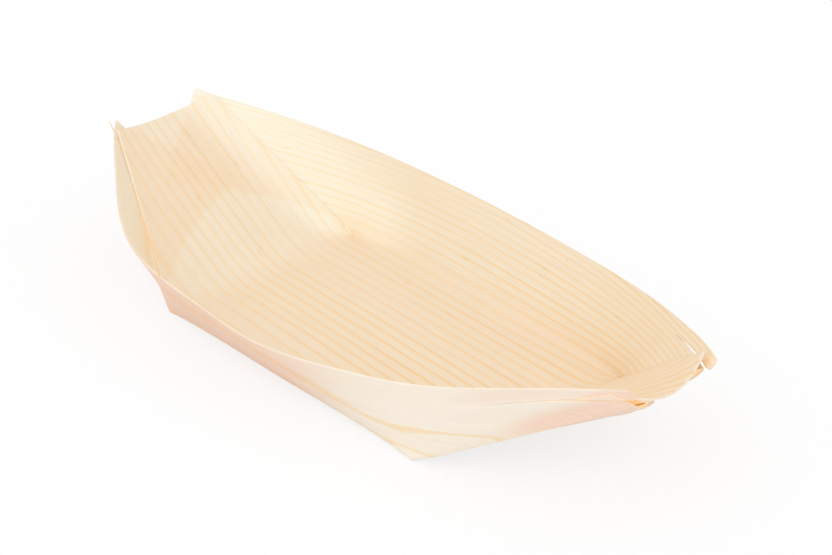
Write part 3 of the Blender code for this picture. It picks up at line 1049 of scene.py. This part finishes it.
def glue_spot(end, layer):
    """Mesh of a glue spot in the middle of the flaps' overlap, ahead of a layer of flap."""
    crease = Crease(end, NEAR)
    width = crease.panel_size()[1]
    slit_end = crease.flap_outline()[2]
    half_length = GLUE_SHARE * (slit_end[0] - width / 2)
    crossing = slit_end[1] * (width / 2) / slit_end[0]
    half_height = GLUE_SHARE * (slit_end[1] - crossing)
    middle = layer * (VENEER + GLUE_FILM) - GLUE_FILM / 2
    spot = bmesh.new()
    for face in (-1, 1):
        rings = []
        for ring in range(GLUE_RINGS + 1):
            out = ring / GLUE_RINGS
            depth = middle + face * math.sqrt(1 - out ** GLUE_FLATNESS) * GLUE_FILM / 2
            rings.append([])
            for segment in range(GLUE_SEGMENTS):
                angle = 2 * math.pi * segment / GLUE_SEGMENTS
                p = width / 2 + half_length * out * math.cos(angle)
                q = slit_end[1] + half_height * out * math.sin(angle)
                rings[-1].append(spot.verts.new(panel_point(end, *crease.panel_share((p, q)), depth)))
        for inner, outer in zip(rings, rings[1:]):
            for segment in range(GLUE_SEGMENTS):
                spot.faces.new((inner[segment - 1], inner[segment], outer[segment], outer[segment - 1]))
    bmesh.ops.remove_doubles(spot, verts=spot.verts, dist=WELD)
    bmesh.ops.recalc_face_normals(spot, faces=spot.faces)
    return spot


def hot_melt():
    """Pale amber glue, cloudy and slightly uneven."""
    material = bpy.data.materials.new("hot_melt_glue")
    material.use_nodes = True
    tree = material.node_tree
    shader = tree.nodes["Principled BSDF"]
    place = add(tree, "ShaderNodeTexCoord").outputs["Object"]
    feeds = {"Vector": place, "Scale": GLUE_CLOUDS, "Detail": GLUE_CLOUD_DETAIL}
    cloud = add(tree, "ShaderNodeTexNoise", feeds).outputs["Fac"]
    colour = mix(tree, slide(tree, cloud, *GLUE_CLOUD_SPAN), *GLUE_COLOURS)
    tree.links.new(colour, shader.inputs["Base Color"])
    roughness = slide(tree, cloud, *GLUE_CLOUD_SPAN, *GLUE_ROUGHNESS)
    tree.links.new(roughness, shader.inputs["Roughness"])
    feeds = {"Strength": GLUE_BUMP, "Distance": GLUE_BUMP_DEPTH, "Height": cloud}
    bump = add(tree, "ShaderNodeBump", feeds)
    tree.links.new(bump.outputs["Normal"], shader.inputs["Normal"])
    return material


GLUE = hot_melt()
for end, end_name in ((LEFT, "left"), (RIGHT, "right")):
    for layer, place_name in ((1, "panel"), (2, "flap")):
        name = f"{end_name}_{place_name}_glue"
        glue_mesh = bpy.data.meshes.new(f"{name}_spot")
        spot = glue_spot(end, layer)
        spot.to_mesh(glue_mesh)
        spot.free()
        glue_mesh.materials.append(GLUE)
        glue_mesh.shade_smooth()
        glue = set_up(f"{name}_spot", glue_mesh)
        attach(glue, "root")
        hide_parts(name)


# Table: a plain white studio table. The camera sees it lifted towards white, so that only a faint
# shadow of the boat stays on it.
TABLE_HALF = 3.0
TABLE_DROP = 0.00002
TABLE_WHITE = (0.94, 0.94, 0.94, 1.0)
TABLE_ROUGHNESS = 0.9
TABLE_LIFT = 0.76
TABLE_GLOW = 1.015
WHITE = (1.0, 1.0, 1.0, 1.0)


def seen(tree):
    """1 for the rays that show a surface to the camera, also by reflection or through something clear."""
    rays = add(tree, "ShaderNodeLightPath").outputs
    mirrored = maths(tree, "MAXIMUM", rays["Is Glossy Ray"], rays["Is Transmission Ray"])
    return maths(tree, "MAXIMUM", rays["Is Camera Ray"], mirrored)


table_mesh = bpy.data.meshes.new("table")
corners = [(x * TABLE_HALF, y * TABLE_HALF, 0.0) for x, y in ((-1, -1), (1, -1), (1, 1), (-1, 1))]
table_mesh.from_pydata(corners, [], [(0, 1, 2, 3)])
table = set_up("table", table_mesh)
table.location.z = -TABLE_DROP
white_table = bpy.data.materials.new("white_table")
white_table.use_nodes = True
tree = white_table.node_tree
shader = tree.nodes["Principled BSDF"]
shader.inputs["Base Color"].default_value = TABLE_WHITE
shader.inputs["Roughness"].default_value = TABLE_ROUGHNESS
lit = add(tree, "ShaderNodeEmission", {"Color": WHITE, "Strength": TABLE_GLOW})
share = maths(tree, "MULTIPLY", seen(tree), TABLE_LIFT)
lifted = add(tree, "ShaderNodeMixShader", {0: share, 1: shader.outputs[0], 2: lit.outputs[0]})
tree.links.new(lifted.outputs[0], tree.nodes["Material Output"].inputs["Surface"])
table_mesh.materials.append(white_table)


# Light: an even white studio, with one large soft lamp in front and above.
WORLD_LIGHT = 0.94
LAMP_PLACE = Vector((0.35, -0.95, 0.95))
LAMP_SIZE = 1.0
LAMP_POWER = 2.0

world = bpy.data.worlds.new("studio")
world.use_nodes = True
tree = world.node_tree
backdrop = tree.nodes["Background"]
backdrop.inputs["Color"].default_value = WHITE
strength = maths(tree, "MULTIPLY_ADD", seen(tree), 1.0 - WORLD_LIGHT, WORLD_LIGHT)
tree.links.new(strength, backdrop.inputs["Strength"])
bpy.context.scene.world = world
lamp_data = bpy.data.lights.new("soft_lamp", "AREA")
lamp_data.size = LAMP_SIZE
lamp_data.energy = LAMP_POWER
lamp = set_up("soft_lamp", lamp_data)
lamp.location = LAMP_PLACE
lamp.rotation_euler = LAMP_PLACE.to_track_quat("Z", "Y").to_euler()


# Camera: at the photograph's viewing angle, a long lens well back from the boat.
CAMERA_AZIMUTH = math.radians(49.34)
CAMERA_HEIGHT = math.radians(26.73)
CAMERA_ROLL = math.radians(1.62)
CAMERA_DISTANCE = 1.19942
CAMERA_AIM = Vector((0.0, 0.0, 0.015))
FRAME_RIGHT = 0.00562
FRAME_UP = 0.00190
FOCAL_LENGTH = 233.24
SENSOR_WIDTH = 36.0

back = Vector((
    math.sin(CAMERA_AZIMUTH) * math.cos(CAMERA_HEIGHT),
    -math.cos(CAMERA_AZIMUTH) * math.cos(CAMERA_HEIGHT),
    math.sin(CAMERA_HEIGHT),
))
level = Vector((math.cos(CAMERA_AZIMUTH), math.sin(CAMERA_AZIMUTH), 0.0))
upright = back.cross(level)
right = level * math.cos(CAMERA_ROLL) + upright * math.sin(CAMERA_ROLL)
up = upright * math.cos(CAMERA_ROLL) - level * math.sin(CAMERA_ROLL)
lens = bpy.data.cameras.new("photo_camera")
lens.lens = FOCAL_LENGTH
lens.sensor_width = SENSOR_WIDTH
camera = set_up("photo_camera", lens)
camera.matrix_world = Matrix((right, up, back)).transposed().to_4x4()
camera.location = CAMERA_AIM + right * FRAME_RIGHT + up * FRAME_UP + back * CAMERA_DISTANCE
bpy.context.scene.camera = camera
bpy.context.scene.view_settings.view_transform = "Standard"
